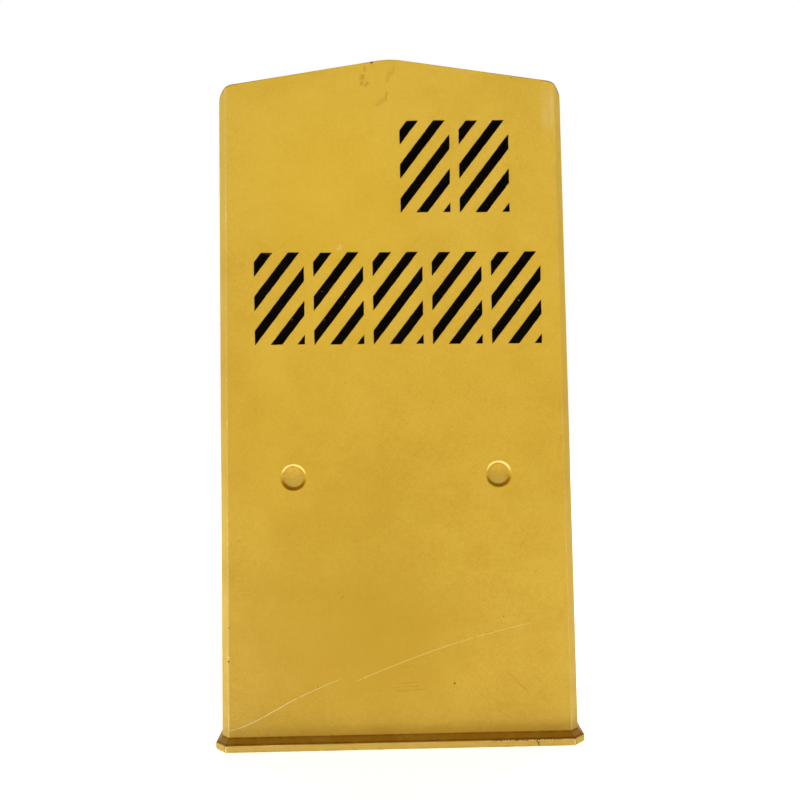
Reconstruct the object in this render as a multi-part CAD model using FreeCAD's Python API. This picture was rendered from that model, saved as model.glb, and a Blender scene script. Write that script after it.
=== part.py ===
import FreeCAD
import Part

import math
import os

# Utility marker post: one hollow moulding, open at the bottom, that stands on a
# thickened rim. Its front is a flat panel with a low gable top, rounded shoulders,
# chamfered upright corners, and two round blind recesses below the middle.
# X runs across the panel, Y through the thickness with the marked face at -Y, and
# Z up. The origin is the middle of the rim's underside. Sizes are in millimetres.

# Body, measured where the roof planes and the side faces would meet
overall_height = 800.0
eaves_width = 400.0
eaves_depth = 120.0
wall_thickness = 5.0
draft_deg = 0.6
corner_chamfer = 9.0
edge_radius = 1.5
inner_edge_radius = 2.5

# Gable top
roof_pitch_deg = 8.6
ridge_radius = 100.0
shoulder_radius = 20.0

# Base rim: an upright lip, and a slope that runs up from it to the wall
rim_reach = 7.0
lip_height = 8.5
rim_slope_deg = 43.0
rim_root_radius = 1.5
rim_corner_radius = 3.5
lip_corner_radius = 3.4
lip_top_radius = 1.6
lip_foot_radius = 2.8

# Round recesses in the marked face, each with a boss behind it
recess_radius = 15.0
recess_depth = 4.0
recess_side_deg = 50.0
recess_mouth_radius = 0.8
recess_floor_radius = 1.2
boss_root_radius = 2.0
recess_spacing = 238.5
recess_height = 315.5

# How far the cutting solids run past the post, and the rim into its wall
overrun = 20.0
rim_bite = 0.5

# How near an edge lies to a height or a radius to be the one that is rounded
level_match = 0.5
circle_match = 0.05

roof_slope = math.tan(math.radians(roof_pitch_deg))
draft_slope = math.tan(math.radians(draft_deg))
ridge_gap = ridge_radius * (1 / math.cos(math.radians(roof_pitch_deg)) - 1)
roof_apex = overall_height + ridge_gap
eaves_height = roof_apex - eaves_width / 2 * roof_slope
rim_slope = math.tan(math.radians(rim_slope_deg))
rim_height = lip_height + rim_reach * rim_slope
recess_side_slope = math.tan(math.radians(recess_side_deg))
boss_radius = recess_radius + wall_thickness * math.tan(math.radians(recess_side_deg) / 2)


def rounded_path(corners, radii):
    """A closed wire of straight runs, with an arc at each corner that has a radius."""
    ends = []
    for i, corner in enumerate(corners):
        to_last = (corners[i - 1] - corner).normalize()
        to_next = (corners[(i + 1) % len(corners)] - corner).normalize()
        half_angle = to_last.getAngle(to_next) / 2
        reach = radii[i] / math.tan(half_angle)
        bulge = radii[i] / math.sin(half_angle) - radii[i]
        middle = (to_last + to_next).normalize()
        ends.append((corner + to_last * reach, corner + middle * bulge, corner + to_next * reach))
    edges = []
    for i, (start, middle, end) in enumerate(ends):
        if radii[i]:
            edges.append(Part.Arc(start, middle, end).toShape())
        edges.append(Part.makeLine(end, ends[(i + 1) % len(ends)][0]))
    return Part.Wire(edges)


def gable_outline(inset, foot):
    """The post seen from the front, with its sides, shoulders and roof moved in by inset."""
    side = eaves_width / 2 - inset / math.cos(math.radians(draft_deg))
    apex = roof_apex - inset / math.cos(math.radians(roof_pitch_deg))
    shoulder = (side + (eaves_height - apex) * draft_slope) / (1 - draft_slope * roof_slope)
    shoulder_height = apex - shoulder * roof_slope
    foot_side = side + (eaves_height - foot) * draft_slope
    corners = [
        FreeCAD.Vector(-foot_side, 0, foot),
        FreeCAD.Vector(-shoulder, 0, shoulder_height),
        FreeCAD.Vector(0, 0, apex),
        FreeCAD.Vector(shoulder, 0, shoulder_height),
        FreeCAD.Vector(foot_side, 0, foot),
    ]
    turn = max(shoulder_radius - inset, 0)
    return rounded_path(corners, [0, turn, ridge_radius - inset, turn, 0])


def plan_sizes(height, inset):
    """Half width, half depth and chamfer leg of the level section at this height."""
    spread = (eaves_height - height) * draft_slope - inset / math.cos(math.radians(draft_deg))
    chamfer = corner_chamfer - inset * (2 - math.sqrt(2))
    return eaves_width / 2 + spread, eaves_depth / 2 + spread, chamfer


def flat_sided_block(lower, upper):
    """A solid between two outlines whose matching sides are parallel."""
    faces = []
    for outline in (lower, upper):
        faces.append(Part.Face(Part.makePolygon(outline + outline[:1])))
    for i in range(len(lower)):
        j = (i + 1) % len(lower)
        side = [lower[i], lower[j], upper[j], upper[i]]
        faces.append(Part.Face(Part.makePolygon(side + side[:1])))
    return Part.Solid(Part.Shell(faces))


def corner_wedge(inset, foot):
    """The front, back and chamfer faces, with the chamfers run out to meet at y = 0."""
    outlines = []
    for height in (foot, overall_height + overrun):
        width, depth, chamfer = plan_sizes(height, inset)
        face = width - chamfer
        outlines.append([
            FreeCAD.Vector(face + depth, 0, height),
            FreeCAD.Vector(face, -depth, height),
            FreeCAD.Vector(-face, -depth, height),
            FreeCAD.Vector(-face - depth, 0, height),
            FreeCAD.Vector(-face, depth, height),
            FreeCAD.Vector(face, depth, height),
        ])
    return flat_sided_block(*outlines)


def panel_block(inset, foot):
    """The drafted block inside the gable outline, with chamfered upright corners."""
    reach = plan_sizes(foot, inset)[1] + overrun
    outline = Part.Face(gable_outline(inset, foot))
    outline.translate(FreeCAD.Vector(0, -reach, 0))
    slab = outline.extrude(FreeCAD.Vector(0, 2 * reach, 0))
    return slab.common(corner_wedge(inset, foot))


def rounded_block(inset, foot, radius):
    """The drafted block with every edge rounded, apart from those of its foot."""
    block = panel_block(inset, foot)
    edges = [edge for edge in block.Edges if edge.BoundBox.ZMax > foot + level_match]
    return block.makeFillet(radius, edges)


def rim_outline(height, outset, corner_radius):
    """The level section moved out by outset, with its corners rounded."""
    width, depth, chamfer = plan_sizes(height, -outset)
    corners = [
        FreeCAD.Vector(width, -depth + chamfer, height),
        FreeCAD.Vector(width - chamfer, -depth, height),
        FreeCAD.Vector(-width + chamfer, -depth, height),
        FreeCAD.Vector(-width, -depth + chamfer, height),
        FreeCAD.Vector(-width, depth - chamfer, height),
        FreeCAD.Vector(-width + chamfer, depth, height),
        FreeCAD.Vector(width - chamfer, depth, height),
        FreeCAD.Vector(width, depth - chamfer, height),
    ]
    return rounded_path(corners, [corner_radius] * len(corners))


def level_edges(shape, height):
    """Edges that lie level, or nearly so where they round a corner, at this height."""
    return [
        edge for edge in shape.Edges
        if abs(edge.BoundBox.ZMin - height) < level_match
        and abs(edge.BoundBox.ZMax - height) < level_match
    ]


def add_rim(block):
    """The block on its rim, with the rim's root, and the lip's top and foot, rounded."""
    foot = rim_outline(0, rim_reach, lip_corner_radius)
    lip_top = rim_outline(lip_height, rim_reach, lip_corner_radius)
    slope_top = rim_outline(rim_height + rim_bite * rim_slope, -rim_bite, rim_corner_radius)
    solid = block.fuse(Part.makeLoft([foot, lip_top, slope_top], True, True))
    solid = solid.makeFillet(rim_root_radius, level_edges(solid, rim_height))
    solid = solid.makeFillet(lip_top_radius, level_edges(solid, lip_height))
    return solid.makeFillet(lip_foot_radius, level_edges(solid, 0))


def disc_form(mouth, depth, rise):
    """A truncated cone that sinks by depth, and stands out of its face by rise."""
    return Part.makeCone(
        mouth + rise / recess_side_slope,
        mouth - depth / recess_side_slope,
        depth + rise,
        FreeCAD.Vector(0, -rise, 0),
        FreeCAD.Vector(0, 1, 0),
    )


def seat_on_face(shape, side, inset):
    """The shape, made at the origin facing -Y, moved to its place on the marked face."""
    depth = plan_sizes(recess_height, inset)[1]
    shape = shape.copy()
    shape.rotate(FreeCAD.Vector(0, 0, 0), FreeCAD.Vector(1, 0, 0), -draft_deg)
    shape.translate(FreeCAD.Vector(side * recess_spacing / 2, -depth, recess_height))
    return shape


def recess_tool(side):
    """What is cut from the face to leave a recess."""
    return seat_on_face(disc_form(recess_radius, recess_depth, overrun), side, 0)


def boss_block(side):
    """The boss behind a recess, which keeps the wall's thickness round it."""
    return seat_on_face(disc_form(boss_radius, recess_depth, wall_thickness / 2), side, wall_thickness)


def circle_edges(shape, radius, inset):
    """Round edges of this radius on the front wall, at this inset from its face."""
    face_y = -plan_sizes(recess_height, inset)[1]
    return [
        edge for edge in shape.Edges
        if isinstance(edge.Curve, Part.Circle)
        and abs(edge.Curve.Radius - radius) < circle_match
        and abs(edge.Curve.Center.y - face_y) < circle_match
    ]


def post_shell():
    """The whole moulding: outer form and rim, with the recesses, less the core."""
    outer = add_rim(rounded_block(0, 0, edge_radius))
    core = rounded_block(wall_thickness, -overrun, inner_edge_radius)
    for side in (-1, 1):
        outer = outer.cut(recess_tool(side))
        core = core.cut(boss_block(side))
    floor_radius = recess_radius - recess_depth / recess_side_slope
    outer = outer.makeFillet(recess_floor_radius, circle_edges(outer, floor_radius, recess_depth))
    outer = outer.makeFillet(recess_mouth_radius, circle_edges(outer, recess_radius, 0))
    core = core.makeFillet(boss_root_radius, circle_edges(core, boss_radius, wall_thickness))
    return outer.cut(core).removeSplitter()


shell = post_shell()
os.makedirs("parts", exist_ok=True)
shell.exportStep("parts/post_shell.step")
print("post_shell:", len(shell.Solids), "solid, valid", shell.isValid(), "volume", round(shell.Volume))
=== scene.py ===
import math
import random
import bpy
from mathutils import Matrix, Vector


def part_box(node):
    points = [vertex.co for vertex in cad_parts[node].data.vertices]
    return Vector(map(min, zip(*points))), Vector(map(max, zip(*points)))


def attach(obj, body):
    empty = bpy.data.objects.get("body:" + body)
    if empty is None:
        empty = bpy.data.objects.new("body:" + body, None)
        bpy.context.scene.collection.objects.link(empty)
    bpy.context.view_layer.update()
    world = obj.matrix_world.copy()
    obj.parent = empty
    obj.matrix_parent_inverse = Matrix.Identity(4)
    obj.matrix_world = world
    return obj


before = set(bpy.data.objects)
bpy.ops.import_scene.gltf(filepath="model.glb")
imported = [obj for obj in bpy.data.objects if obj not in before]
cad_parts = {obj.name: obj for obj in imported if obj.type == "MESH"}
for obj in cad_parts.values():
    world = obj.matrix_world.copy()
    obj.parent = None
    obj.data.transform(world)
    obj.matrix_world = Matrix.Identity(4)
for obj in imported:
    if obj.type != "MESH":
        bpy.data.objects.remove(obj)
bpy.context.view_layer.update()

from types import SimpleNamespace

import bmesh
import bpy
from mathutils import Matrix, Vector
from mathutils.bvhtree import BVHTree

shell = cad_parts["post_shell"]
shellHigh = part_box("post_shell")[1]
random.seed(18)
print("frame loaded, shell", [round(v, 4) for v in shellHigh])


# Short helpers for node trees. A value is either a number or another node's output.
def emptyTree(owner):
    owner.use_nodes = True
    owner.node_tree.nodes.clear()
    return owner.node_tree


def plug(tree, value, socket):
    if isinstance(value, bpy.types.NodeSocket):
        tree.links.new(value, socket)
    else:
        socket.default_value = value


def calc(tree, operation, first, second=0.0, third=0.0, clamp=False):
    node = tree.nodes.new("ShaderNodeMath")
    node.operation = operation
    node.use_clamp = clamp
    for value, socket in zip((first, second, third), node.inputs):
        plug(tree, value, socket)
    return node.outputs[0]


def fade(tree, value, start, end, low=0.0, high=1.0):
    # low at start, high at end, and smooth between
    node = tree.nodes.new("ShaderNodeMapRange")
    node.interpolation_type = "SMOOTHSTEP"
    plug(tree, value, node.inputs["Value"])
    node.inputs["From Min"].default_value = min(start, end)
    node.inputs["From Max"].default_value = max(start, end)
    node.inputs["To Min"].default_value = low if start < end else high
    node.inputs["To Max"].default_value = high if start < end else low
    return node.outputs["Result"]


def absolute(tree, value):
    return calc(tree, "ABSOLUTE", value)


def near(tree, value, middle, solid, soft):
    # 1 within solid of the middle, falling to 0 at soft
    return fade(tree, absolute(tree, calc(tree, "SUBTRACT", value, middle)), soft, solid)


def times(tree, *values):
    result = values[0]
    for value in values[1:]:
        result = calc(tree, "MULTIPLY", result, value)
    return result


def weighted(tree, *pairs):
    # the sum of the values, each times its weight
    value, weight = pairs[0]
    result = calc(tree, "MULTIPLY", value, weight)
    for value, weight in pairs[1:]:
        result = calc(tree, "MULTIPLY_ADD", value, weight, result)
    return result


def most(tree, *values):
    result = values[0]
    for value in values[1:]:
        result = calc(tree, "MAXIMUM", result, value)
    return result


def distance(tree, first, second):
    squares = calc(tree, "MULTIPLY_ADD", first, first, calc(tree, "MULTIPLY", second, second))
    return calc(tree, "SQRT", squares)


def splitVector(tree, vector):
    node = tree.nodes.new("ShaderNodeSeparateXYZ")
    tree.links.new(vector, node.inputs[0])
    return node.outputs


def grain(tree, spot, perMetre, detail=4.0, roughness=0.55, distortion=0.0, turn=None, scale=None):
    if scale:
        mapping = tree.nodes.new("ShaderNodeMapping")
        mapping.inputs["Rotation"].default_value = turn
        mapping.inputs["Scale"].default_value = scale
        tree.links.new(spot, mapping.inputs["Vector"])
        spot = mapping.outputs["Vector"]
    node = tree.nodes.new("ShaderNodeTexNoise")
    node.inputs["Scale"].default_value = perMetre
    node.inputs["Detail"].default_value = detail
    node.inputs["Roughness"].default_value = roughness
    node.inputs["Distortion"].default_value = distortion
    tree.links.new(spot, node.inputs["Vector"])
    return node.outputs["Fac"]


def allGrains(tree, spot, kinds):
    return SimpleNamespace(**{name: grain(tree, spot, **kind) for name, kind in kinds.items()})


def blendColour(tree, amount, first, second, mode="MIX"):
    node = tree.nodes.new("ShaderNodeMix")
    node.data_type = "RGBA"
    node.blend_type = mode
    plug(tree, amount, node.inputs["Factor"])
    for value, name in ((first, "A"), (second, "B")):
        socket = [s for s in node.inputs if s.name == name and s.type == "RGBA"][0]
        if isinstance(value, tuple):
            value = value + (1.0,)
        plug(tree, value, socket)
    return [s for s in node.outputs if s.type == "RGBA"][0]


def addFilm(tree, amount, colour, film):
    # a see-through film of dirt over the colour
    return blendColour(tree, amount, colour, blendColour(tree, 1.0, colour, film, "MULTIPLY"))


def newMaterial(name):
    material = bpy.data.materials.new(name)
    tree = emptyTree(material)
    output = tree.nodes.new("ShaderNodeOutputMaterial")
    shader = tree.nodes.new("ShaderNodeBsdfPrincipled")
    tree.links.new(shader.outputs["BSDF"], output.inputs["Surface"])
    return material, tree, shader


def addBump(tree, shader, millimetres):
    node = tree.nodes.new("ShaderNodeBump")
    node.inputs["Strength"].default_value = 1.0
    node.inputs["Distance"].default_value = 0.001
    tree.links.new(millimetres, node.inputs["Height"])
    tree.links.new(node.outputs["Normal"], shader.inputs["Normal"])


# Short helpers for meshes and objects
def meshData(name, mesh):
    data = bpy.data.meshes.new(name)
    mesh.to_mesh(data)
    mesh.free()
    return data


def addObject(name, data):
    piece = bpy.data.objects.new(name, data)
    bpy.context.scene.collection.objects.link(piece)
    return piece


# The yellow moulding: lengths in metres, colours linear, bump heights in millimetres
yellowMoulding = {
    "form": {
        # where its faces and edges lie; a drafted face keeps |x| or |y| plus z * draft constant
        "draft": math.tan(math.radians(0.6)),
        "chamfer": 0.009,
        "shoulder": (0.18018, 0.75366),        # middle of the right one's arc
        "shoulderRadius": 0.020,
        "roofApex": 0.801137,
        "roofSlope": math.tan(math.radians(8.6)),
        "rimReach": 0.0070,
        "rimHeight": 0.0150,
        "lipHeight": 0.0085,
        "slopeFoot": 0.0096,                   # the crease above the lip's rounded top
        "lipEnd": 0.2020,                      # half the length of the strip on the lip's front
        "lipEndRadius": 0.0036,
        "lipMiddle": 0.0047,
        "recessHeight": 0.3155,
        "recessSpacing": 0.2385,
        "recessMouth": 0.0150,                 # radii of a recess, from its rounded mouth to its floor
        "recessBevel": 0.0143,
        "recessWall": 0.0135,
        "recessRoot": 0.0119,
    },
    "colours": {
        "mid": (0.650, 0.380, 0.014),
        "pale": (0.745, 0.455, 0.029),
        "deep": (0.570, 0.318, 0.008),
        "chalk": (0.800, 0.545, 0.090),
        "ripe": (0.490, 0.284, 0.001),
        "sunny": (0.790, 0.485, 0.018),
        "rubbedTan": (0.730, 0.510, 0.095),
        "scuff": (0.860, 0.700, 0.330),
        "roofPale": (0.980, 0.640, 0.045),
        "lipWorn": (0.535, 0.350, 0.058),
        # painted highlight on the recess walls that face down
        "polished": (0.860, 0.720, 0.250),
        # grime film: painted shade with some grime
        "grimeFilm": (0.65, 0.445, 0.05),
        # crease film: painted shade with some dirt
        "crustFilm": (0.66, 0.47, 0.02),
        # painted shade at the foot
        "footFilm": (0.36, 0.38, 0.46),
        # painted shade along the shoulders and the roof's edge
        "shoulderCrust": (0.200, 0.078, 0.010),
        "rubBrown": (0.370, 0.130, 0.001),
        "chipDark": (0.085, 0.024, 0.002),
        "rawInside": (0.360, 0.235, 0.055),
    },
    "grains": {
        "broad": {"perMetre": 4.5, "detail": 3.0},
        "waves": {"perMetre": 14.0, "detail": 2.0},
        "cloudy": {"perMetre": 26.0, "detail": 5.0, "roughness": 0.6},
        "weave": {"perMetre": 45.0, "detail": 8.0, "roughness": 0.75, "distortion": 2.5},
        "rubbed": {"perMetre": 60.0, "detail": 6.0, "roughness": 0.7, "distortion": 0.6},
        "broken": {"perMetre": 110.0, "detail": 4.0, "roughness": 0.7},
        "coarse": {"perMetre": 140.0, "detail": 4.0, "roughness": 0.65},
        "peel": {"perMetre": 330.0, "detail": 3.0, "roughness": 0.6},
        "chunks": {"perMetre": 430.0, "detail": 4.0, "roughness": 0.75},
        "flecks": {"perMetre": 480.0, "detail": 3.0, "roughness": 0.7},
        "dust": {"perMetre": 600.0, "detail": 3.0, "roughness": 0.70, "distortion": 0.4},
        "fine": {"perMetre": 700.0, "detail": 2.0, "roughness": 0.6},
        "streaky": {"perMetre": 90.0, "roughness": 0.6, "turn": (0.0, 0.5, 0.0), "scale": (0.25, 1.0, 1.6)},
        "upright": {"perMetre": 160.0, "roughness": 0.6, "turn": (0.0, 0.0, 0.0), "scale": (1.0, 1.0, 0.15)},
    },
    "calm": 0.40,                              # share of the even middle colour
    "bleach": 0.15,                            # chalk at the very top
    "tone": (0.850, 1.06),                     # painted light: brightness at the foot and at the top
    "leftTone": 0.955,
    "mottle": 0.34,
    "dusting": (0.21, 0.44),                   # chalk grain, low down and high up
    "heights": {
        # between which heights each of these changes
        "tone": (0.05, 0.80),
        "bleach": (0.25, 0.86),
        "dusting": (0.42, 0.72),
        "footScuff": (0.050, 0.025),
        "stain": (0.036, 0.024),
        # the foot's painted shade
        "foot": (0.0036, 0.0012),
    },
    "across": {
        # between which places across the post each of these changes
        "leftTone": (-0.205, -0.135),
        "chamfers": (-0.1, 0.1),
        "stain": (-0.20, 0.05),
        "floorChalk": (0.05, -0.05),
        "roofEdge": (0.155, 0.105),            # these three on both sides of the middle
        "roofLine": (0.120, 0.175),
        "lipEdge": (0.08, 0.17),
    },
    # amounts of wear and dirt, and of painted shade and highlight
    "wear": {
        # amounts from 0 to 1; a pair is the least and the most
        # a right, left, side or middle value is the share of the amount that is kept there
        "chamferTan": (0.25, 0.60), "rightTan": 0.22,
        "edgeScuff": (0.12, 0.55), "footScuff": 0.40, "rightScuff": 0.6,
        "roofScuff": (0.55, 0.95),
        # the slope's amount is painted shade with some grime
        "slopeGrime": (0.46, 0.83), "sideSlope": 0.80,
        # painted shadow on the face above the rim
        "stain": 0.27, "leftStain": 0.45,
        # ring, root and mouth amounts paint shade in the recesses, and the end amount paints the shadow
        # beside the strip's ends
        "ringGrime": 0.85, "rootGrime": 0.5, "mouthCrust": 0.9, "endGrime": 0.8,
        # the crease amounts paint shade in the creases, with some dirt
        "creases": (0.45, 0.90),
        # the shoulder and roof line amounts paint shade along the rounded edges that face up
        "shoulderGrime": (0.45, 1.0), "shoulderCrust": 0.75, "roofLine": 0.8,
        # the highlight share sets the painted highlight on the recess walls; the floor amounts are chalk
        # specks and painted light low on the floor
        "polish": 0.65,
        "floorChalk": (0.05, 0.55), "rightChalk": 0.35,
        # the end share sets the painted highlight on the strip's rounded ends
        "lipWear": (0.35, 0.85), "lipScuff": (0.05, 0.75), "middleScuff": 0.35, "endScuff": 0.65,
        "rub": 0.25,
        "chips": 0.88,
    },
    "marks": {
        # x and z on the front face; a line is z = a + b x + c x^2 and so on, over a span of x
        "scratches": [
            {"curve": (0.1328, 1.4766, 16.855, 109.82, 243.95), "span": (-0.199, -0.063),
             "width": 0.00066, "strength": (0.75, 0.34)},
            {"curve": (0.0977, 0.3694, -0.5617), "span": (-0.052, 0.158),
             "width": 0.00065, "strength": (0.38, 0.26)},
        ],
        "rubs": [
            {"curve": (0.0655, 0.06), "span": (-0.010, 0.034), "width": 0.0011},
            {"curve": (0.0700, 0.04), "span": (-0.012, 0.030), "width": 0.0010},
            {"curve": (0.0745, 0.05), "span": (-0.008, 0.026), "width": 0.0009},
            {"curve": (0.0925, 0.10), "span": (-0.004, 0.016), "width": 0.0008},
        ],
        "strokes": [
            {"from": (-0.0279, 0.7935), "to": (-0.0293, 0.7845), "width": 0.0021, "strength": 0.42},
            {"from": (-0.0300, 0.7835), "to": (-0.0326, 0.7755), "width": 0.0042, "strength": 0.56},
            {"from": (-0.0322, 0.7755), "to": (-0.0326, 0.7690), "width": 0.0027, "strength": 0.42},
            {"from": (-0.0232, 0.7745), "to": (-0.0305, 0.7675), "width": 0.0031, "strength": 0.34},
            {"from": (0.0010, 0.7880), "to": (-0.0036, 0.7710), "width": 0.0036, "strength": 0.24},
            {"from": (-0.0030, 0.7640), "to": (-0.0050, 0.7500), "width": 0.0030, "strength": 0.36},
            {"from": (-0.0040, 0.7560), "to": (-0.0180, 0.7430), "width": 0.0044, "strength": 0.22},
            {"from": (0.0060, 0.7930), "to": (0.0020, 0.7780), "width": 0.0034, "strength": 0.17},
            {"from": (0.1210, 0.0905), "to": (0.1535, 0.0570), "width": 0.0017, "strength": 0.30},
            {"from": (0.1585, 0.0800), "to": (0.1655, 0.0705), "width": 0.0016, "strength": 0.20},
            {"from": (0.1075, 0.0440), "to": (0.1330, 0.0310), "width": 0.0019, "strength": 0.18},
            {"from": (0.1000, 0.0600), "to": (0.1230, 0.0450), "width": 0.0019, "strength": 0.15},
            {"from": (-0.1855, 0.2410), "to": (-0.1825, 0.2440), "width": 0.0020, "strength": 0.34},
            {"from": (-0.0670, 0.1730), "to": (-0.0622, 0.1775), "width": 0.0018, "strength": 0.36},
        ],
        "specks": [                            # place and radius
            ((0.0637, 0.0730), 0.0017),
            ((-0.0946, 0.0724), 0.0009),
            ((0.1220, 0.1495), 0.0008),
            ((0.1335, 0.1505), 0.0007),
            ((-0.1967, 0.1426), 0.0010),
            ((-0.1979, 0.1034), 0.0014),
            ((-0.0205, 0.7972), 0.0021),
            ((0.1420, 0.7765), 0.0011),
        ],
        "smudges": [                           # place, radius and strength
            ((-0.030, 0.776), 0.011, 0.13),
            ((-0.010, 0.752), 0.012, 0.10),
            ((0.003, 0.786), 0.009, 0.10),
        ],
        "scuffs": [                            # place, radius and strength
            ((-0.062, 0.5815), 0.0050, 0.6),
            ((-0.1972, 0.1075), 0.0022, 0.8),
        ],
        "patches": [                           # place, radius, strength and colour
            ((-0.072, 0.150), 0.125, 0.48, "ripe"),
            ((0.000, 0.095), 0.095, 0.38, "ripe"),
            ((-0.165, 0.345), 0.110, 0.27, "deep"),
            ((0.140, 0.048), 0.052, 0.20, "ripe"),
            ((-0.065, 0.660), 0.105, 0.36, "sunny"),
            ((-0.060, 0.520), 0.080, 0.12, "sunny"),
        ],
        "haze": {"middle": (0.1845, 0.7400), "half": (0.012, 0.034), "strength": 0.24},
        "ghost": {"middle": (0.143, 0.040), "half": (0.040, 0.022), "strength": 0.075},
        "lipChips": (0.100, 0.190),
        "lipCrack": 0.1590,
    },
    "roughness": {"sound": 0.38, "grain": 0.10, "clouds": 0.10,
                  "dirt": 0.22, "recess": -0.12, "inside": 0.25},
    "specular": 0.40,
    "dirtDulls": 0.85,                         # share of the shine that dirt and painted shade take
    "relief": {"grain": 0.070, "peel": 0.12, "waves": 0.35, "weave": 0.8, "scratches": -0.06, "chips": -0.12},
}


def findPlaces(tree, form):
    # where a point of the moulding lies, and which way the surface faces there
    coords = tree.nodes.new("ShaderNodeTexCoord")
    at = SimpleNamespace(spot=coords.outputs["Object"])
    at.x, at.y, at.z = splitVector(tree, at.spot)
    at.facingX, at.facingY, at.facingZ = splitVector(tree, coords.outputs["Normal"])
    flat = tree.nodes.new("ShaderNodeCombineXYZ")
    tree.links.new(at.x, flat.inputs[0])
    tree.links.new(at.z, flat.inputs[2])
    at.flat = flat.outputs[0]
    at.width = absolute(tree, at.x)
    at.depth = absolute(tree, at.y)
    at.sideways = absolute(tree, at.facingX)
    at.frontways = absolute(tree, at.facingY)
    sideReach = calc(tree, "MULTIPLY_ADD", at.z, form["draft"], at.width)
    faceReach = calc(tree, "MULTIPLY_ADD", at.z, form["draft"], at.depth)
    at.sideDepth = calc(tree, "SUBTRACT", shellHigh[0] - form["rimReach"], sideReach)
    at.faceDepth = calc(tree, "SUBTRACT", shellHigh[1] - form["rimReach"], faceReach)
    at.front = fade(tree, at.y, -0.04, -0.05)
    at.aboveRim = fade(tree, at.z, form["rimHeight"], form["rimHeight"] + 0.001)

    # inner surfaces look back at the middle of the post
    outwards = calc(tree, "MULTIPLY", at.x, at.facingX)
    outwards = calc(tree, "MULTIPLY_ADD", calc(tree, "MULTIPLY", at.y, 6.0), at.facingY, outwards)
    outwards = calc(tree, "MULTIPLY_ADD", calc(tree, "MULTIPLY_ADD", at.z, 0.2, -0.08), at.facingZ, outwards)
    at.inside = fade(tree, outwards, 0.005, -0.005)
    at.outside = calc(tree, "SUBTRACT", 1.0, at.inside)
    return at


def lineMask(tree, at, line, wander, startFade=0.004, endFade=0.012):
    # how near the surface is to the line of a scratch or rub, with soft ends
    *lower, height = line["curve"]
    for factor in reversed(lower):
        height = calc(tree, "MULTIPLY_ADD", height, at.x, factor)
    offset = calc(tree, "MULTIPLY_ADD", wander, 0.0016, -0.0008)
    away = absolute(tree, calc(tree, "SUBTRACT", at.z, calc(tree, "ADD", height, offset)))
    start, end = line["span"]
    inSpan = times(tree, fade(tree, at.x, start, start + startFade), fade(tree, at.x, end, end - endFade))
    return times(tree, fade(tree, away, line["width"], line["width"] * 0.3), inSpan)


def strokeMask(tree, at, stroke, wander):
    # a soft straight stroke that wavers a little
    (x0, z0), (x1, z1) = stroke["from"], stroke["to"]
    length = math.hypot(x1 - x0, z1 - z0)
    turnX, turnZ = (x1 - x0) / length, (z1 - z0) / length
    along = calc(tree, "MULTIPLY_ADD", at.z, turnZ, -(x0 * turnX + z0 * turnZ))
    along = calc(tree, "MULTIPLY_ADD", at.x, turnX, along)
    across = calc(tree, "MULTIPLY_ADD", at.z, turnX, x0 * turnZ - z0 * turnX)
    across = calc(tree, "MULTIPLY_ADD", at.x, -turnZ, across)
    across = calc(tree, "MULTIPLY_ADD", calc(tree, "SUBTRACT", wander, 0.5), 0.006, across)
    ends = times(tree, fade(tree, along, 0.0, length * 0.25), fade(tree, along, length, length * 0.75))
    return times(tree, near(tree, across, 0.0, 0.0, stroke["width"]), ends, stroke["strength"])


def spotMask(tree, at, place, radius, ragged, core=0.75):
    # a ragged patch, sound over the core's share of its reach
    node = tree.nodes.new("ShaderNodeVectorMath")
    node.operation = "DISTANCE"
    tree.links.new(at.flat, node.inputs[0])
    node.inputs[1].default_value = (place[0], 0.0, place[1])
    away = calc(tree, "MULTIPLY_ADD", ragged, radius * 1.2, node.outputs["Value"])
    return fade(tree, away, radius * 1.5, radius * 1.5 * core)


def recessMasks(tree, at, look):
    # the parts of the two round recesses, by the distance from a recess's middle, with masks of painted shade
    # on the lower wall, lower mouth and upper root, and of a painted highlight on the walls that face down
    form, wear = look["form"], look["wear"]
    recess = SimpleNamespace()
    recess.up = calc(tree, "SUBTRACT", at.z, form["recessHeight"])
    away = distance(tree, calc(tree, "SUBTRACT", at.width, form["recessSpacing"] / 2), recess.up)
    recess.wall = times(tree, at.front, near(tree, away, form["recessWall"], 0.0020, 0.0028),
                        fade(tree, at.faceDepth, 0.0002, 0.0012))
    # painted shade on the lower wall of each recess, with some grime
    recess.lowRing = times(tree, at.front, fade(tree, recess.up, -0.0005, -0.0085),
                           near(tree, away, form["recessWall"], 0.0014, 0.0021), wear["ringGrime"])
    # painted shade in the crease at the upper root
    recess.highRoot = times(tree, at.front, fade(tree, recess.up, 0.000, 0.006),
                            near(tree, away, form["recessRoot"], 0.0006, 0.0014), wear["rootGrime"])
    # painted shade along the lower part of the mouth
    recess.mouthRing = times(tree, at.front, fade(tree, recess.up, -0.0060, -0.0125, 0.0, wear["mouthCrust"]),
                             near(tree, away, form["recessMouth"] + 0.0003, 0.0005, 0.0011))
    # painted highlight on the walls that face down
    recess.polished = times(tree, at.front, near(tree, away, form["recessBevel"], 0.0009, 0.0017),
                            fade(tree, at.facingZ, -0.10, -0.45))
    recess.floor = times(tree, at.front, fade(tree, away, 0.0125, 0.0115),
                         fade(tree, at.faceDepth, 0.0030, 0.0036))
    return recess


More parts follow.
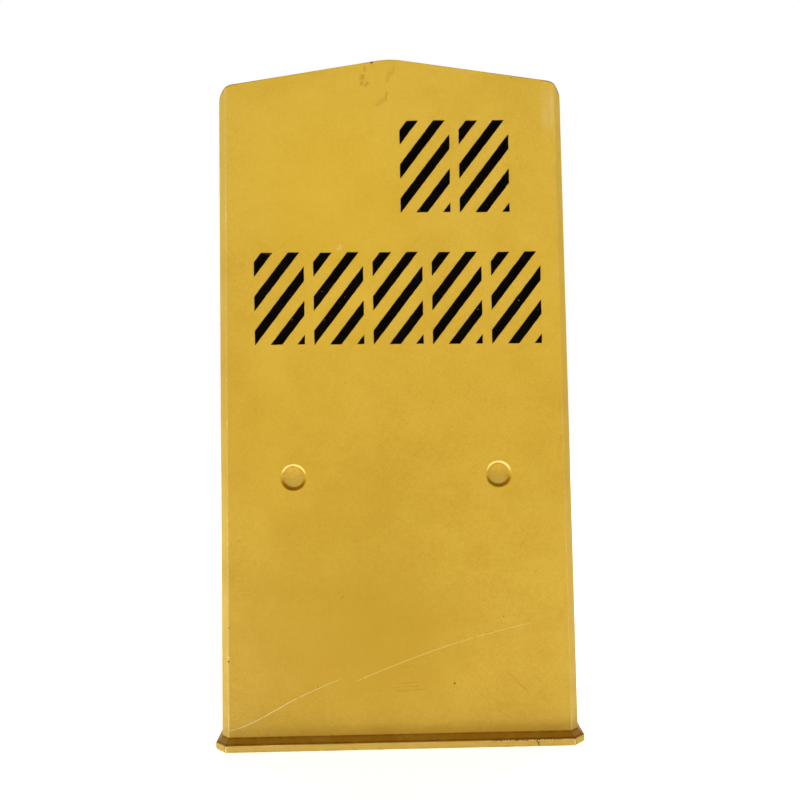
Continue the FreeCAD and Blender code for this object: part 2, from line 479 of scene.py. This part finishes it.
def stripMasks(tree, at, form):
    # the lip's front is made to look like a strip with round ends, set off from the corners by a painted
    # shadow line and a painted highlight along each end
    radius = form["lipEndRadius"]
    turn = form["lipEnd"] - radius
    fromEnd = distance(tree, calc(tree, "MAXIMUM", calc(tree, "SUBTRACT", at.width, turn), 0.0),
                       calc(tree, "SUBTRACT", at.z, form["lipMiddle"]))
    onEnd = times(tree, fade(tree, at.width, turn - 0.001, turn + 0.001), fade(tree, at.depth, 0.066, 0.068))
    strip = SimpleNamespace()
    strip.gap = times(tree, onEnd, near(tree, fromEnd, radius + 0.0009, 0.0004, 0.0011))
    strip.edge = times(tree, onEnd, near(tree, fromEnd, radius - 0.0003, 0.0002, 0.0007))
    return strip


def soundColour(tree, at, noise, look):
    # sound material: mottled, bleached towards the top, dusted with chalky grain, with painted light that
    # darkens the foot and brightens the top
    colours, heights, across = look["colours"], look["heights"], look["across"]
    blend = weighted(tree, (noise.cloudy, 0.45), (noise.broad, 0.70))
    colour = blendColour(tree, fade(tree, blend, 0.34, 0.82), colours["deep"], colours["pale"])
    colour = blendColour(tree, look["calm"], colour, colours["mid"])
    height = calc(tree, "MULTIPLY_ADD", noise.cloudy, 0.12, at.z)
    bleached = fade(tree, height, *heights["bleach"], 0.0, look["bleach"])
    colour = blendColour(tree, bleached, colour, colours["chalk"])
    # painted light: the tone's height part darkens the foot and brightens the top; its speckle part is the
    # mottle
    tone = calc(tree, "MULTIPLY_ADD", calc(tree, "SUBTRACT", noise.speckle, 0.5), look["mottle"],
                fade(tree, at.z, *heights["tone"], *look["tone"]))
    tone = times(tree, tone, fade(tree, at.x, *across["leftTone"], look["leftTone"], 1.0))
    colour = blendColour(tree, 1.0, colour, tone, "MULTIPLY")
    dusty = weighted(tree, (noise.coarse, 0.20), (noise.dust, 0.70), (noise.cloudy, 0.10))
    dusty = times(tree, fade(tree, dusty, 0.40, 0.62),
                  fade(tree, at.z, *heights["dusting"], *look["dusting"]))
    colour = blendColour(tree, dusty, colour, colours["chalk"])
    ragged = calc(tree, "MULTIPLY_ADD", noise.broad, 0.8, -0.4)
    for place, radius, strength, shade in look["marks"]["patches"]:
        mask = spotMask(tree, at, place, radius, ragged, 0.1)
        colour = blendColour(tree, times(tree, mask, at.front, strength), colour, colours[shade])
    return colour


def wearEdges(tree, at, noise, look, colour, underRoof):
    # the chamfers are rubbed pale, and whiter in places along their edges, as the roof's edge is
    colours, wear, across, leg = look["colours"], look["wear"], look["across"], look["form"]["chamfer"]
    chamfer = near(tree, calc(tree, "ADD", at.sideDepth, at.faceDepth), leg, 0.0007, 0.0014)
    chamfer = times(tree, chamfer, at.aboveRim, fade(tree, at.frontways, 0.93, 0.85),
                    fade(tree, at.sideways, 0.97, 0.93))
    tan = times(tree, chamfer, fade(tree, noise.cloudy, 0.30, 0.70, *wear["chamferTan"]),
                fade(tree, at.x, *across["chamfers"], 1.0, wear["rightTan"]))
    colour = blendColour(tree, tan, colour, colours["rubbedTan"])
    innerEdge = times(tree, near(tree, at.sideDepth, leg, 0.0003, 0.0011),
                      fade(tree, at.faceDepth, 0.002, 0.001))
    outerEdge = times(tree, near(tree, at.faceDepth, leg, 0.0003, 0.0011),
                      fade(tree, at.sideDepth, 0.002, 0.001))
    edges = times(tree, most(tree, innerEdge, outerEdge), at.aboveRim, at.outside,
                  fade(tree, at.x, *across["chamfers"], 1.0, wear["rightScuff"]))
    worn = most(tree, fade(tree, noise.rubbed, 0.54, 0.66, *wear["edgeScuff"]),
                fade(tree, at.z, *look["heights"]["footScuff"], 0.0, wear["footScuff"]))
    colour = blendColour(tree, times(tree, edges, worn), colour, colours["scuff"])
    roofEdge = times(tree, near(tree, underRoof, 0.0006, 0.0012, 0.0022),
                     fade(tree, at.faceDepth, 0.0022, 0.0013), fade(tree, at.width, *across["roofEdge"]),
                     fade(tree, at.facingZ, 0.15, 0.40), at.outside,
                     fade(tree, noise.rubbed, 0.25, 0.55, *wear["roofScuff"]))
    return blendColour(tree, roofEdge, colour, colours["roofPale"])


def gatherGrime(tree, at, noise, look, colour, underRoof, recess, strip, masks):
    # painted shade, with some grime, on what faces up and in creases: the rim's slope, a painted shadow above
    # it, the recesses, the strip's ends, the shoulders and the foot
    colours, wear, form = look["colours"], look["wear"], look["form"]
    heights, across, rimTop = look["heights"], look["across"], form["rimHeight"]
    # painted shade, with some grime, on the rim's up-facing slope
    onSlope = times(tree, fade(tree, at.z, form["lipHeight"] - 0.0001, form["slopeFoot"]),
                    fade(tree, at.z, rimTop + 0.0020, rimTop + 0.0002))
    slope = times(tree, onSlope, fade(tree, noise.rubbed, 0.15, 0.65, *wear["slopeGrime"]),
                  fade(tree, at.sideways, 0.20, 0.50, 1.0, wear["sideSlope"]))
    # painted shadow of the lip on the face just above the rim, ragged at its top
    stain = calc(tree, "MULTIPLY_ADD", noise.rubbed, 0.010, at.z)
    stain = fade(tree, stain, *heights["stain"], 0.0, wear["stain"])
    stain = times(tree, stain, fade(tree, at.x, *across["stain"], wear["leftStain"], 1.0))
    # painted shadow beside the strip's rounded ends
    ends = times(tree, strip.gap, wear["endGrime"])
    masks.grimy = times(tree, most(tree, slope, stain, recess.lowRing, recess.highRoot, ends), at.outside)
    colour = addFilm(tree, masks.grimy, colour, colours["grimeFilm"])

    # painted shade, with some dirt, in the creases at the rim's top, above the lip, beside the strip's ends
    # and along the recesses' lower mouths
    creases = most(tree, near(tree, at.z, rimTop + 0.0003, 0.0004, 0.0013),
                   near(tree, at.z, form["slopeFoot"], 0.0004, 0.0012), strip.gap, recess.mouthRing)
    masks.creases = times(tree, creases, at.outside, fade(tree, noise.rubbed, 0.20, 0.60, *wear["creases"]))
    colour = addFilm(tree, masks.creases, colour, colours["crustFilm"])

    # painted shade: a dark line where the shoulders' and the roof's rounded edges face up
    shoulderX, shoulderZ = form["shoulder"]
    fromCentre = distance(tree, calc(tree, "SUBTRACT", at.width, shoulderX),
                          calc(tree, "SUBTRACT", at.z, shoulderZ))
    shoulderLine = times(tree, near(tree, fromCentre, form["shoulderRadius"] + 0.0002, 0.0009, 0.0025),
                         fade(tree, at.z, shoulderZ - 0.002, shoulderZ + 0.006),
                         fade(tree, at.width, shoulderX - 0.006, shoulderX + 0.004))
    roofLine = times(tree, near(tree, underRoof, 0.0, 0.0003, 0.0014),
                     fade(tree, at.width, *across["roofLine"], 0.0, wear["roofLine"]))
    masks.shoulder = times(tree, most(tree, shoulderLine, roofLine), fade(tree, at.frontways, 0.10, 0.35),
                           fade(tree, noise.rubbed, 0.30, 0.60, *wear["shoulderGrime"]), at.outside)
    crust = times(tree, masks.shoulder, wear["shoulderCrust"])
    colour = blendColour(tree, crust, colour, colours["shoulderCrust"])
    # painted shade along the foot
    foot = times(tree, fade(tree, at.z, *heights["foot"]), at.outside)
    return addFilm(tree, foot, colour, colours["footFilm"])


def finishRecesses(tree, at, noise, look, colour, recess):
    # the wall of each recess that faces down gets a painted highlight; its floor is chalky, and lighter low
    # down as painted light
    colours, wear = look["colours"], look["wear"]
    colour = blendColour(tree, times(tree, recess.polished, wear["polish"]), colour, colours["polished"])
    chalky = times(tree, fade(tree, noise.peel, 0.35, 0.70, *wear["floorChalk"]),
                   fade(tree, at.x, *look["across"]["floorChalk"], wear["rightChalk"], 1.0))
    # painted light on the floor's lower part, where the lower wall shades it
    chalky = most(tree, chalky, fade(tree, recess.up, 0.000, -0.010, 0.0, wear["floorChalk"][1]))
    return blendColour(tree, times(tree, recess.floor, chalky), colour, colours["chalk"])


def wearLip(tree, at, noise, look, colour, strip, masks):
    # the lip is rubbed pale, most along its upper edge, and its strip ends get a painted highlight
    colours, wear, top = look["colours"], look["wear"], look["form"]["lipHeight"]
    masks.lip = times(tree, fade(tree, at.z, top + 0.0005, top - 0.0005), at.outside,
                      fade(tree, noise.rubbed, 0.30, 0.65, *wear["lipWear"]))
    colour = blendColour(tree, masks.lip, colour, colours["lipWorn"])
    upperEdge = times(tree, near(tree, at.z, top - 0.0003, 0.0002, 0.0008),
                      fade(tree, noise.streaky, 0.40, 0.62, *wear["lipScuff"]),
                      fade(tree, at.width, *look["across"]["lipEdge"], wear["middleScuff"], 1.0))
    # wear on the upper edge, and the painted highlight on the strip's rounded ends
    scuffed = times(tree, most(tree, upperEdge, times(tree, strip.edge, wear["endScuff"])), at.outside)
    return blendColour(tree, scuffed, colour, colours["scuff"])


def markFace(tree, at, noise, look, colour, masks):
    # pale scratches, scuffs and haze
    colours, marks = look["colours"], look["marks"]
    broken = fade(tree, noise.broken, 0.30, 0.46)
    pale = []
    for scratch in marks["scratches"]:
        start, end = scratch["span"]
        strength = fade(tree, at.x, start + 0.03, end, *scratch["strength"])
        pale.append(times(tree, lineMask(tree, at, scratch, noise.cloudy), broken, strength))
    flecks = fade(tree, noise.flecks, 0.50, 0.58)
    for place, radius, strength in marks["scuffs"]:
        pale.append(times(tree, spotMask(tree, at, place, radius, noise.rubbed), flecks, strength))
    (hazeX, hazeZ), (reachX, reachZ) = marks["haze"]["middle"], marks["haze"]["half"]
    pale.append(times(tree, near(tree, at.x, hazeX, reachX * 0.3, reachX),
                      near(tree, at.z, hazeZ, reachZ * 0.3, reachZ),
                      fade(tree, noise.upright, 0.40, 0.62, 0.35, 1.0), marks["haze"]["strength"]))
    masks.pale = times(tree, most(tree, *pale), at.front)
    colour = blendColour(tree, masks.pale, colour, colours["scuff"])

    # brown strokes and rubs, and the trace of something that stood against it
    strokes = [strokeMask(tree, at, stroke, noise.cloudy) for stroke in marks["strokes"]]
    dull = [times(tree, most(tree, *strokes), fade(tree, noise.coarse, 0.30, 0.60, 0.55, 1.0))]
    for rub in marks["rubs"]:
        line = lineMask(tree, at, rub, noise.coarse, 0.010, 0.010)
        dull.append(times(tree, line, broken, look["wear"]["rub"]))
    (ghostX, ghostZ), (reachX, reachZ) = marks["ghost"]["middle"], marks["ghost"]["half"]
    raggedX = calc(tree, "MULTIPLY_ADD", noise.rubbed, 0.02, at.x)
    raggedZ = calc(tree, "MULTIPLY_ADD", noise.rubbed, 0.02, at.z)
    dull.append(times(tree, near(tree, raggedX, ghostX, reachX, reachX * 1.6),
                      near(tree, raggedZ, ghostZ, reachZ, reachZ * 1.8),
                      fade(tree, noise.streaky, 0.35, 0.65, 0.2, 1.0), marks["ghost"]["strength"]))
    masks.dull = times(tree, most(tree, *dull), at.front)
    colour = blendColour(tree, masks.dull, colour, colours["rubBrown"])

    # dark specks and smudges
    dark = [spotMask(tree, at, place, radius, noise.coarse) for place, radius in marks["specks"]]
    for place, radius, strength in marks["smudges"]:
        dark.append(times(tree, spotMask(tree, at, place, radius, noise.rubbed, 0.3), noise.rubbed, strength))
    masks.dark = times(tree, most(tree, *dark), at.front)
    return blendColour(tree, masks.dark, colour, colours["chipDark"])


def breakLip(tree, at, noise, look, colour, masks):
    # chips along the lip's upper edge and a crack down it
    (start, end), top = look["marks"]["lipChips"], look["form"]["lipHeight"]
    jagged = calc(tree, "MULTIPLY_ADD", noise.rubbed, 0.0040, at.z)
    chips = times(tree, fade(tree, at.x, start, start + 0.01), fade(tree, at.x, end, end - 0.01),
                  near(tree, jagged, top + 0.0023, 0.0006, 0.0013),
                  fade(tree, noise.chunks, 0.50, 0.55), at.front)
    crackX = calc(tree, "MULTIPLY_ADD", noise.coarse, 0.009, look["marks"]["lipCrack"] - 0.0045)
    crackX = calc(tree, "MULTIPLY_ADD", calc(tree, "MULTIPLY", at.z, at.z), -30.0, crackX)
    crack = times(tree, near(tree, at.x, crackX, 0.0003, 0.0009),
                  fade(tree, at.z, top + 0.0013, top + 0.0001), at.front)
    masks.broke = times(tree, most(tree, chips, crack), at.outside)
    amount = times(tree, masks.broke, look["wear"]["chips"])
    return blendColour(tree, amount, colour, look["colours"]["chipDark"])


def makeYellowMoulding(look):
    material, tree, shader = newMaterial("yellowMoulding")
    form, colours = look["form"], look["colours"]
    at = findPlaces(tree, form)
    noise = allGrains(tree, at.spot, look["grains"])
    noise.speckle = weighted(tree, (noise.peel, 0.30), (noise.fine, 0.55), (noise.coarse, 0.15))
    underRoof = calc(tree, "MULTIPLY_ADD", at.width, -form["roofSlope"], form["roofApex"])
    underRoof = calc(tree, "SUBTRACT", underRoof, at.z)
    recess = recessMasks(tree, at, look)
    strip = stripMasks(tree, at, form)
    masks = SimpleNamespace()

    colour = soundColour(tree, at, noise, look)
    colour = wearEdges(tree, at, noise, look, colour, underRoof)
    colour = gatherGrime(tree, at, noise, look, colour, underRoof, recess, strip, masks)
    colour = finishRecesses(tree, at, noise, look, colour, recess)
    colour = wearLip(tree, at, noise, look, colour, strip, masks)
    colour = markFace(tree, at, noise, look, colour, masks)
    colour = breakLip(tree, at, noise, look, colour, masks)
    raw = blendColour(tree, fade(tree, noise.weave, 0.35, 0.65), colours["rawInside"], colours["mid"])
    colour = blendColour(tree, at.inside, colour, raw)
    tree.links.new(colour, shader.inputs["Base Color"])

    # rougher where grimy or painted shaded, rubbed or raw, smoother in the recesses; grime, painted shade and
    # bare chips hardly shine
    parts = look["roughness"]
    rough = calc(tree, "MULTIPLY_ADD", noise.coarse, parts["grain"], parts["sound"] - parts["grain"] / 2)
    rough = calc(tree, "MULTIPLY_ADD", noise.cloudy, parts["clouds"], rough)
    rough = calc(tree, "MULTIPLY_ADD", most(tree, masks.grimy, masks.lip, masks.pale), parts["dirt"], rough)
    rough = calc(tree, "MULTIPLY_ADD", recess.wall, parts["recess"], rough)
    rough = calc(tree, "MULTIPLY_ADD", at.inside, parts["inside"], rough, clamp=True)
    tree.links.new(rough, shader.inputs["Roughness"])
    dirty = most(tree, masks.grimy, masks.creases, masks.shoulder, masks.broke, masks.dull)
    shine = calc(tree, "MULTIPLY_ADD", dirty, -look["dirtDulls"] * look["specular"], look["specular"])
    shader.inputs["Specular IOR Level"].default_value = look["specular"]
    tree.links.new(shine, shader.inputs["Specular IOR Level"])
    shader.inputs["IOR"].default_value = 1.5

    # relief: moulded grain, slow waves of the panel, and what the marks dug out
    relief = look["relief"]
    height = weighted(tree, (noise.fine, relief["grain"]), (noise.speckle, relief["peel"]),
                      (noise.waves, relief["waves"]), (times(tree, noise.weave, at.inside), relief["weave"]),
                      (masks.pale, relief["scratches"]),
                      (most(tree, masks.dark, masks.broke), relief["chips"]))
    addBump(tree, shader, height)
    return material


shell.data.materials.clear()
shell.data.materials.append(makeYellowMoulding(yellowMoulding))
print("moulding finished in yellow")

# Painted marks: two rows of cells, each filled with slanted bars. Lengths in metres, bump heights in
# millimetres, and a row starts at the low left corner of its first cell.
signPaint = {
    "rows": [{"left": 0.0105, "foot": 0.6210, "cells": 2}, {"left": -0.1612, "foot": 0.4695, "cells": 5}],
    "rowTilt": -0.0105,
    "cellWidth": 0.058,
    "cellHeight": 0.107,
    "pitch": 0.0689,
    "barWidth": 0.0105,
    "barPitch": 0.0245,
    "barSlant": math.radians(52.0),
    "firstBar": 0.35,            # share of the first bar that the corner cuts off
    "film": 0.00012,
    "key": 0.00002,              # how far the film reaches into the moulding
    "edgeStep": 0.004,
    "edgeWander": 0.00016,
    "colour": (0.0012, 0.0008, 0.0005),
    "faded": (0.0034, 0.0025, 0.0018),
    "missing": (0.50, 0.29, 0.03),
    "grains": {
        "patchy": {"perMetre": 70.0, "detail": 5.0, "roughness": 0.6},
        "fine": {"perMetre": 700.0, "detail": 3.0, "roughness": 0.6},
        "pitted": {"perMetre": 330.0, "detail": 2.0, "roughness": 0.5},
    },
    "pinholes": (0.745, 0.775),  # where the pitted grain goes from sound paint to none
    "roughness": 0.38,
    "patchRoughness": 0.25,
    "specular": 0.025,
    "relief": {"grain": 0.012, "patches": 0.02},
}


def clipPolygon(points, normal, limit):
    # keeps the part of the polygon where point . normal <= limit
    kept = []
    for i, point in enumerate(points):
        following = points[(i + 1) % len(points)]
        here = point.dot(normal) - limit
        there = following.dot(normal) - limit
        if here <= 0:
            kept.append(point)
        if (here < 0 < there) or (there < 0 < here):
            kept.append(point.lerp(following, here / (here - there)))
    return kept


def cellBars(look):
    # the slanted bars of one cell, as polygons from its low left corner
    width, height = look["cellWidth"], look["cellHeight"]
    along = Vector((math.cos(look["barSlant"]), math.sin(look["barSlant"])))
    across = Vector((-along.y, along.x))
    corners = [Vector((0, 0)), Vector((width, 0)), Vector((width, height)), Vector((0, height))]
    reaches = [corner.dot(across) for corner in corners]
    bars = []
    start = min(reaches) - look["barWidth"] * look["firstBar"]
    while start < max(reaches):
        bar = clipPolygon(corners, -across, -start)
        if bar:
            bar = clipPolygon(bar, across, start + look["barWidth"])
        if len(bar) > 2:
            bars.append(bar)
        start += look["barPitch"]
    return bars


def wanderEdge(points, look):
    # closer points along the outline, each a little off the line as brushed paint is
    result = []
    for i, point in enumerate(points):
        following = points[(i + 1) % len(points)]
        run = following - point
        steps = max(1, round(run.length / look["edgeStep"]))
        for k in range(steps):
            shift = Vector((random.uniform(-1, 1), random.uniform(-1, 1))) * look["edgeWander"]
            result.append(point + run * (k / steps) + shift)
    return result


def addBar(mesh, surface, outline, look):
    # one bar as a closed film that lies on the face
    back, front = [], []
    for x, z in outline:
        hit = surface.ray_cast(Vector((x, -1.0, z)), Vector((0, 1, 0)))[0]
        back.append(mesh.verts.new(hit + Vector((0, look["key"], 0))))
        front.append(mesh.verts.new(hit - Vector((0, look["film"], 0))))
    mesh.faces.new(front)
    mesh.faces.new(list(reversed(back)))
    for i in range(len(back)):
        j = (i + 1) % len(back)
        mesh.faces.new((back[i], back[j], front[j], front[i]))


def makeSignPaint(look):
    surface = BVHTree.FromPolygons([v.co.copy() for v in shell.data.vertices],
                                   [list(p.vertices) for p in shell.data.polygons])
    mesh = bmesh.new()
    for row in look["rows"]:
        for cell in range(row["cells"]):
            left = row["left"] + cell * look["pitch"]
            foot = row["foot"] + cell * look["pitch"] * look["rowTilt"]
            for bar in cellBars(look):
                outline = [(left + point.x, foot + point.y) for point in wanderEdge(bar, look)]
                addBar(mesh, surface, outline, look)
    bmesh.ops.recalc_face_normals(mesh, faces=mesh.faces)
    return addObject("signPaint", meshData("signPaint", mesh))


def makeBlackPaint(look):
    material, tree, shader = newMaterial("blackSignPaint")
    spot = tree.nodes.new("ShaderNodeTexCoord").outputs["Object"]
    noise = allGrains(tree, spot, look["grains"])
    colour = blendColour(tree, fade(tree, noise.patchy, 0.35, 0.75), look["colour"], look["faded"])
    colour = blendColour(tree, fade(tree, noise.pitted, *look["pinholes"]), colour, look["missing"])
    tree.links.new(colour, shader.inputs["Base Color"])
    rough = calc(tree, "MULTIPLY_ADD", noise.patchy, look["patchRoughness"], look["roughness"])
    tree.links.new(rough, shader.inputs["Roughness"])
    shader.inputs["IOR"].default_value = 1.45
    shader.inputs["Specular IOR Level"].default_value = look["specular"]
    relief = look["relief"]
    addBump(tree, shader, weighted(tree, (noise.fine, relief["grain"]), (noise.patchy, relief["patches"])))
    return material


paint = makeSignPaint(signPaint)
paint.data.materials.append(makeBlackPaint(signPaint))
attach(paint, "root")
print("sign paint laid,", len(paint.data.polygons), "faces")

# Floor and surroundings: white to the camera, plain pale to the light
studio = {
    "floorSize": 14.0,
    "floorDrop": 0.0003,
    "floorPale": (0.74, 0.74, 0.73),
    "floorGlow": 0.80,
    "ambient": 0.34,
    "ambientGloss": 0.14,
    "lamps": [
        {"name": "lowLeft", "place": (-3.6, -3.1, -2.1), "aim": (0.0, -0.06, 0.6),
         "size": (4.0, 4.0), "power": 163.0},
        {"name": "lowRight", "place": (3.4, -3.2, -2.1), "aim": (0.0, -0.06, 0.6),
         "size": (4.0, 4.0), "power": 131.0},
        {"name": "lowFront", "place": (-0.4, -3.2, -2.0), "aim": (0.0, -0.06, 0.6),
         "size": (2.4, 1.6), "power": 31.0},
        {"name": "under", "place": (-0.1, -0.38, -1.2), "aim": (0.0, -0.10, 0.4),
         "size": (1.8, 0.5), "power": 62.0},
        {"name": "rearLeft", "place": (-2.2, 3.0, 2.0), "aim": (0.0, 0.06, 0.45),
         "size": (2.4, 2.4), "power": 60.0},
        {"name": "rearRight", "place": (2.2, 3.0, 2.0), "aim": (0.0, 0.06, 0.45),
         "size": (2.4, 2.4), "power": 60.0},
    ],
}


def makeFloor(look):
    mesh = bmesh.new()
    bmesh.ops.create_grid(mesh, x_segments=8, y_segments=8, size=look["floorSize"] / 2)
    floor = addObject("floor", meshData("floor", mesh))
    material = bpy.data.materials.new("floorWhite")
    tree = emptyTree(material)
    output = tree.nodes.new("ShaderNodeOutputMaterial")
    matt = tree.nodes.new("ShaderNodeBsdfDiffuse")
    matt.inputs["Color"].default_value = look["floorPale"] + (1.0,)
    glow = tree.nodes.new("ShaderNodeEmission")
    rays = tree.nodes.new("ShaderNodeLightPath").outputs
    seen = most(tree, rays["Is Camera Ray"], rays["Is Glossy Ray"], rays["Is Transmission Ray"])
    tree.links.new(calc(tree, "MULTIPLY", seen, look["floorGlow"]), glow.inputs["Strength"])
    both = tree.nodes.new("ShaderNodeAddShader")
    tree.links.new(matt.outputs[0], both.inputs[0])
    tree.links.new(glow.outputs[0], both.inputs[1])
    tree.links.new(both.outputs[0], output.inputs["Surface"])
    floor.data.materials.append(material)
    floor.location.z = -look["floorDrop"]
    floor.visible_shadow = False      # the low lamps shine up past it


def makeWorld(look):
    world = bpy.data.worlds.new("studioWorld")
    bpy.context.scene.world = world
    tree = emptyTree(world)
    output = tree.nodes.new("ShaderNodeOutputWorld")
    light = tree.nodes.new("ShaderNodeBackground")
    light.inputs["Color"].default_value = (1.0, 1.0, 1.0, 1.0)
    rays = tree.nodes.new("ShaderNodeLightPath").outputs
    seen = most(tree, rays["Is Camera Ray"], rays["Is Transmission Ray"])
    strength = fade(tree, rays["Is Glossy Ray"], 0.0, 1.0, look["ambient"], look["ambientGloss"])
    tree.links.new(most(tree, seen, strength), light.inputs["Strength"])
    tree.links.new(light.outputs[0], output.inputs["Surface"])


def addLamp(settings):
    light = bpy.data.lights.new(settings["name"], "AREA")
    light.shape = "RECTANGLE"
    light.size, light.size_y = settings["size"]
    light.energy = settings["power"]
    lamp = addObject(settings["name"], light)
    lamp.location = settings["place"]
    aim = Vector(settings["aim"]) - Vector(settings["place"])
    lamp.rotation_euler = aim.to_track_quat("-Z", "Y").to_euler()
    lamp.visible_camera = False


makeFloor(studio)
makeWorld(studio)
for lampSettings in studio["lamps"]:
    addLamp(lampSettings)
print("floor, world and lamps set")

# Camera: almost straight on, rolled so that the post leans a little to the left. Angles in degrees.
cameraSettings = {
    "place": (-0.0068, -1.0690, 0.4079),
    "turn": -0.724,              # about Z, below 0 to the right
    "tilt": -0.277,              # below 0 down
    "roll": -0.977,
    "focalPixels": 865.0,
    "framePixels": 800.0,
    "sensorWidth": 36.0,
    "farthest": 50.0,
}


def addCamera(settings):
    data = bpy.data.cameras.new("camera")
    data.sensor_fit = "HORIZONTAL"
    data.sensor_width = settings["sensorWidth"]
    data.lens = data.sensor_width * settings["focalPixels"] / settings["framePixels"]
    data.clip_end = settings["farthest"]
    camera = addObject("camera", data)
    turn = Matrix.Rotation(math.radians(settings["turn"]), 4, "Z")
    tilt = Matrix.Rotation(math.radians(90.0 + settings["tilt"]), 4, "X")
    roll = Matrix.Rotation(math.radians(settings["roll"]), 4, "Z")
    camera.matrix_world = Matrix.Translation(settings["place"]) @ turn @ tilt @ roll
    bpy.context.scene.camera = camera


addCamera(cameraSettings)
bpy.context.scene.view_settings.view_transform = "Standard"
print("camera placed")
